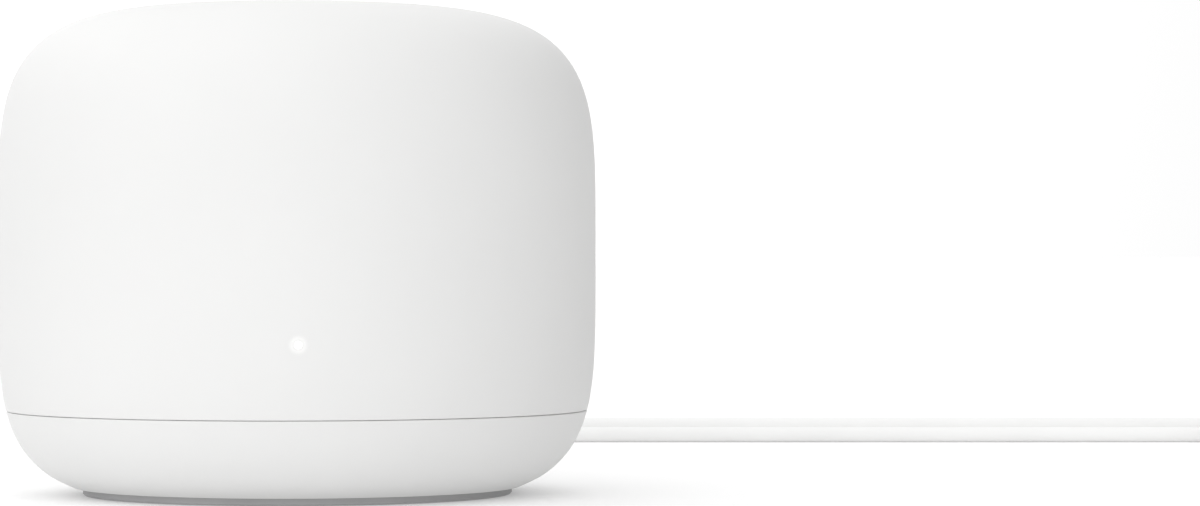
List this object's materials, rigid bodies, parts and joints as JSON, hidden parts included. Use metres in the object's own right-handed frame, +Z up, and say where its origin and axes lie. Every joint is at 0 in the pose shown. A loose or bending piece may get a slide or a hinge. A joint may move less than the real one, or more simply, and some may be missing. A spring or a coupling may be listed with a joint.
{
  "type": "wireless router",
  "caption": "Round dome-topped table router on a rubber foot ring, with two network sockets and a power socket in a rear recess, a power lead with its mains adapter and a network lead.",
  "frame": {"origin": "centre of the foot ring's underside, on the surface the router stands on, leads not counted", "axes": "+Z up along the round body's axis, -Y to the front with the status light, +Y to the back with the sockets, +X to the right seen from the front"},
  "size_m": [0.3667, 0.342, 0.09],
  "materials": {
    "shell_white": "satin",
    "foot_grey": "matte",
    "cover_grey": "fine texture",
    "bay_white": "fine texture",
    "jack_black": "satin",
    "shield_steel": "tinned",
    "contact_gold": "gold plated",
    "pin_nickel": "nickel plated",
    "board_green": "solder mask",
    "chip_black": "moulded",
    "pad_grey": "soft",
    "capacitor_silver": "satin",
    "socket_ivory": "moulded",
    "sink_aluminium": "bead blasted",
    "screw_steel": "zinc plated",
    "carrier_grey": "fine texture",
    "antenna_board": "solder mask",
    "coax_black": "satin",
    "led_white": "lit",
    "guide_clear": "polished",
    "ribbon_amber": "film",
    "button_grey": "satin",
    "plug_white": "satin",
    "liner_black": "satin",
    "lead_white": "satin",
    "tie_white": "film",
    "plug_clear": "polished",
    "adapter_white": "satin",
    "transformer_yellow": "tape",
    "capacitor_black": "sleeve"
  },
  "bodies": {
    "router": {"top_shell": "shell_white", "base_shell": "shell_white", "foot_ring": "foot_grey", "bottom_cover": "cover_grey", "socket_bay": "bay_white", "wan_jack_housing": "jack_black", "lan_jack_housing": "jack_black", "power_jack_housing": "jack_black", "wan_jack_shield": "shield_steel", "lan_jack_shield": "shield_steel", "shield_cans": "shield_steel", "wan_jack_contacts": "contact_gold", "lan_jack_contacts": "contact_gold", "power_jack_pin": "pin_nickel", "main_board": "board_green", "light_board": "board_green", "processor_chips": "chip_black", "memory_chips": "chip_black", "radio_chips": "chip_black", "power_inductors": "chip_black", "network_transformers": "chip_black", "reset_switch": "chip_black", "thermal_pads": "pad_grey", "board_capacitors": "capacitor_silver", "board_sockets": "socket_ivory", "heat_sink": "sink_aluminium", "case_screws": "screw_steel", "heat_sink_screws": "screw_steel", "antenna_carrier": "carrier_grey", "antenna_boards": "antenna_board", "antenna_leads": "coax_black", "status_led": "led_white", "light_guide": "guide_clear", "light_ribbon": "ribbon_amber"},
    "reset_button": {"reset_button": "button_grey", "reset_plunger": "button_grey"},
    "power_lead": {"power_plug_grip": "plug_white", "power_plug_barrel": "pin_nickel", "power_plug_liner": "liner_black", "power_lead": "lead_white", "power_lead_coil": "lead_white", "power_lead_tie": "tie_white", "adapter_front_case": "adapter_white", "adapter_back_case": "adapter_white", "adapter_blades": "pin_nickel", "adapter_strain_relief": "plug_white", "adapter_board": "board_green", "adapter_transformer": "transformer_yellow", "adapter_capacitors": "capacitor_black"},
    "network_lead": {"network_plug_body": "plug_clear", "network_plug_contacts": "contact_gold", "network_plug_boot": "plug_white", "network_lead": "lead_white", "network_lead_coil": "lead_white", "network_lead_tie": "tie_white", "far_plug_body": "plug_clear", "far_plug_contacts": "contact_gold", "far_plug_boot": "plug_white"},
    "plug_latch": {"network_plug_latch": "plug_clear"},
    "far_plug_latch": {"far_plug_latch": "plug_clear"}
  },
  "joints": [
    {"name": "reset_press", "type": "slide", "parent": "router", "child": "reset_button", "axis": [0, 0, 1], "range_m": [0, 0.0005], "stiffness_N_per_m": 1200, "springref_m": -0.0004},
    {"name": "power_unplug", "type": "slide", "parent": "router", "child": "power_lead", "axis": [0, 1, 0], "range_m": [0, 0.012]},
    {"name": "network_unplug", "type": "slide", "parent": "router", "child": "network_lead", "axis": [0, 1, 0], "range_m": [0, 0.016]},
    {"name": "plug_latch_press", "type": "hinge", "parent": "network_lead", "child": "plug_latch", "pos_m": [0.0005, 0.0178, 0.00645], "axis": [1, 0, 0], "range_deg": [0, 5], "stiffness_Nm_per_rad": 0.05, "springref_deg": -5.73},
    {"name": "far_latch_press", "type": "hinge", "parent": "network_lead", "child": "far_plug_latch", "pos_m": [0.3055, 0.2862, 0.00705], "axis": [1, 0, 0], "range_deg": [0, 5], "stiffness_Nm_per_rad": 0.05, "springref_deg": -5.73}
  ]
}
